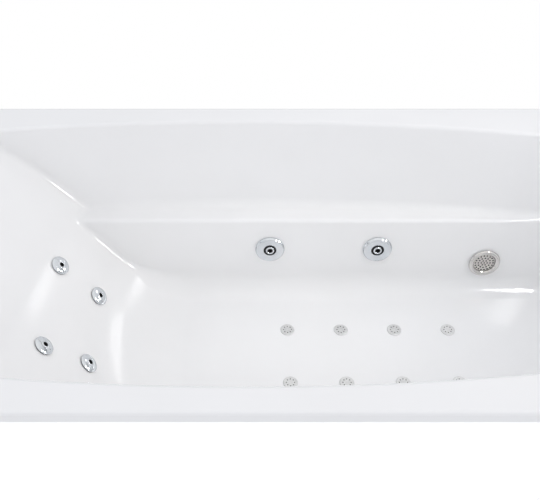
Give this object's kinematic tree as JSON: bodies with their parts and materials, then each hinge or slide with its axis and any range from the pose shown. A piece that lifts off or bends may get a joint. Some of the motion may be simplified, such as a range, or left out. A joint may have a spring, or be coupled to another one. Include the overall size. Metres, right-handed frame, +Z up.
{
  "type": "jetted bathtub",
  "caption": "Rectangular drop-in jetted bath with a dished backrest, armrest ledges, water and air jets, suction fitting, pump, blower and support frame.",
  "frame": {"origin": "on the ground under the middle of the tub", "axes": "+X towards the foot end, where the waste is; +Y towards the wall side; +Z up"},
  "size_m": [1.8, 0.8, 0.5753],
  "materials": {
    "white_acrylic": "gloss",
    "white_panel": "gloss",
    "chrome": "polished",
    "stainless": "satin",
    "satin_injector": "satin",
    "dark_plastic": "satin",
    "white_pipe": "satin",
    "clear_hose": "satin",
    "rubber": "matte",
    "motor_paint": "satin paint",
    "rotor_steel": "satin",
    "galvanised": "galvanised",
    "foot_metal": "zinc plated",
    "board": "raw board"
  },
  "bodies": {
    "tub": {"bath_shell": "white_acrylic", "side_jet_bodies": "dark_plastic", "back_jet_bodies": "dark_plastic", "air_injectors": "satin_injector", "suction_trim_ring": "chrome", "suction_strainer": "stainless", "suction_body": "dark_plastic", "suction_pipe": "white_pipe", "manifold_cross": "white_pipe", "manifold_sides": "white_pipe", "back_jet_hoses": "clear_hose", "pump_volute": "dark_plastic", "pump_backplate": "dark_plastic", "pump_motor": "motor_paint", "pump_fan_cowl": "dark_plastic", "equipment_plate": "galvanised", "pump_unions": "white_pipe", "blower_base": "dark_plastic", "blower_cover": "dark_plastic", "check_valve": "dark_plastic", "air_main": "clear_hose", "air_rails": "clear_hose", "air_lines": "clear_hose", "control_bodies": "chrome", "backing_nuts": "white_pipe", "waste_flange": "chrome", "gaskets": "rubber", "waste_body": "white_pipe", "waste_trap": "white_pipe", "overflow_body": "dark_plastic", "overflow_pipe": "white_pipe", "baseboard": "board", "frame_rails": "galvanised", "cradle_legs": "galvanised", "levelling_feet": "foot_metal", "foot_locknuts": "galvanised", "rim_battens": "board", "rim_posts": "galvanised", "front_panel": "white_panel", "panel_clips": "galvanised"},
    "side_jet_ring_1": {"side_jet_ring_1": "chrome"},
    "side_jet_nozzle_1": {"side_jet_nozzle_1": "chrome"},
    "side_jet_ring_2": {"side_jet_ring_2": "chrome"},
    "side_jet_nozzle_2": {"side_jet_nozzle_2": "chrome"},
    "side_jet_ring_3": {"side_jet_ring_3": "chrome"},
    "side_jet_nozzle_3": {"side_jet_nozzle_3": "chrome"},
    "side_jet_ring_4": {"side_jet_ring_4": "chrome"},
    "side_jet_nozzle_4": {"side_jet_nozzle_4": "chrome"},
    "back_jet_cap_1": {"back_jet_cap_1": "chrome"},
    "back_jet_cap_2": {"back_jet_cap_2": "chrome"},
    "back_jet_cap_3": {"back_jet_cap_3": "chrome"},
    "back_jet_cap_4": {"back_jet_cap_4": "chrome"},
    "air_knob_far": {"air_knob_far": "chrome"},
    "button_far": {"button_far": "chrome"},
    "air_knob_near": {"air_knob_near": "chrome"},
    "button_near": {"button_near": "chrome"},
    "overflow_knob": {"overflow_knob": "chrome"},
    "waste_plug": {"waste_plug": "chrome"},
    "pump_rotor": {"pump_rotor": "rotor_steel"},
    "blower_rotor": {"blower_rotor": "rotor_steel"}
  },
  "joints": [
    {"name": "side_jet_ring_1_turn", "type": "hinge", "parent": "tub", "child": "side_jet_ring_1", "pos_m": [0.07, 0.22792, 0.28], "axis": [0, -0.9905, 0.1372], "range_deg": [0, 90]},
    {"name": "side_jet_nozzle_1_tilt", "type": "hinge", "parent": "side_jet_ring_1", "child": "side_jet_nozzle_1", "pos_m": [0.07, 0.23089, 0.27959], "axis": [1, 0, 0], "range_deg": [-15, 15]},
    {"name": "side_jet_ring_2_turn", "type": "hinge", "parent": "tub", "child": "side_jet_ring_2", "pos_m": [0.324, 0.22792, 0.28], "axis": [0, -0.9905, 0.1372], "range_deg": [0, 90]},
    {"name": "side_jet_nozzle_2_tilt", "type": "hinge", "parent": "side_jet_ring_2", "child": "side_jet_nozzle_2", "pos_m": [0.324, 0.23089, 0.27959], "axis": [1, 0, 0], "range_deg": [-15, 15]},
    {"name": "side_jet_ring_3_turn", "type": "hinge", "parent": "tub", "child": "side_jet_ring_3", "pos_m": [0.07, -0.22792, 0.28], "axis": [0, 0.9905, 0.1372], "range_deg": [0, 90]},
    {"name": "side_jet_nozzle_3_tilt", "type": "hinge", "parent": "side_jet_ring_3", "child": "side_jet_nozzle_3", "pos_m": [0.07, -0.23089, 0.27959], "axis": [-1, 0, 0], "range_deg": [-15, 15]},
    {"name": "side_jet_ring_4_turn", "type": "hinge", "parent": "tub", "child": "side_jet_ring_4", "pos_m": [0.324, -0.22792, 0.28], "axis": [0, 0.9905, 0.1372], "range_deg": [0, 90]},
    {"name": "side_jet_nozzle_4_tilt", "type": "hinge", "parent": "side_jet_ring_4", "child": "side_jet_nozzle_4", "pos_m": [0.324, -0.23089, 0.27959], "axis": [-1, 0, 0], "range_deg": [-15, 15]},
    {"name": "back_jet_cap_1_turn", "type": "hinge", "parent": "tub", "child": "back_jet_cap_1", "pos_m": [-0.32191, 0.093, 0.26384], "axis": [0.7487, -0.1016, 0.655], "range_deg": [0, 90]},
    {"name": "back_jet_cap_2_turn", "type": "hinge", "parent": "tub", "child": "back_jet_cap_2", "pos_m": [-0.39854, 0.11, 0.34708], "axis": [0.689, -0.122, 0.7144], "range_deg": [0, 90]},
    {"name": "back_jet_cap_3_turn", "type": "hinge", "parent": "tub", "child": "back_jet_cap_3", "pos_m": [-0.32191, -0.093, 0.26384], "axis": [0.7487, 0.1016, 0.655], "range_deg": [0, 90]},
    {"name": "back_jet_cap_4_turn", "type": "hinge", "parent": "tub", "child": "back_jet_cap_4", "pos_m": [-0.39854, -0.11, 0.34708], "axis": [0.689, 0.122, 0.7144], "range_deg": [0, 90]},
    {"name": "air_knob_far_turn", "type": "hinge", "parent": "tub", "child": "air_knob_far", "pos_m": [0.848, 0.335, 0.56], "axis": [0, 0, 1], "range_deg": [0, 180]},
    {"name": "button_far_press", "type": "slide", "parent": "tub", "child": "button_far", "axis": [0, 0, -1], "range_m": [0, 0.004], "stiffness_N_per_m": 400, "springref_m": -0.003},
    {"name": "air_knob_near_turn", "type": "hinge", "parent": "tub", "child": "air_knob_near", "pos_m": [0.848, -0.335, 0.56], "axis": [0, 0, 1], "range_deg": [0, 180]},
    {"name": "button_near_press", "type": "slide", "parent": "tub", "child": "button_near", "axis": [0, 0, -1], "range_m": [0, 0.004], "stiffness_N_per_m": 400, "springref_m": -0.003},
    {"name": "overflow_knob_turn", "type": "hinge", "parent": "tub", "child": "overflow_knob", "pos_m": [0.8398, 0, 0.475], "axis": [-0.9929, 0, 0.1191], "range_deg": [0, 90]},
    {"name": "waste_plug_lift", "type": "slide", "parent": "tub", "child": "waste_plug", "axis": [0, 0, 1], "range_m": [0, 0.0101]},
    {"name": "pump_rotor_spin", "type": "hinge", "parent": "tub", "child": "pump_rotor", "pos_m": [-0.62, 0, 0.222], "axis": [0, 1, 0], "continuous": true},
    {"name": "blower_rotor_spin", "type": "hinge", "parent": "tub", "child": "blower_rotor", "pos_m": [-0.79, -0.11, 0.145], "axis": [0, 0, 1], "continuous": true}
  ],
  "couplings": [
    {"joint": "waste_plug_lift", "follows": "overflow_knob_turn", "m_per_rad": 0.0063662}
  ]
}
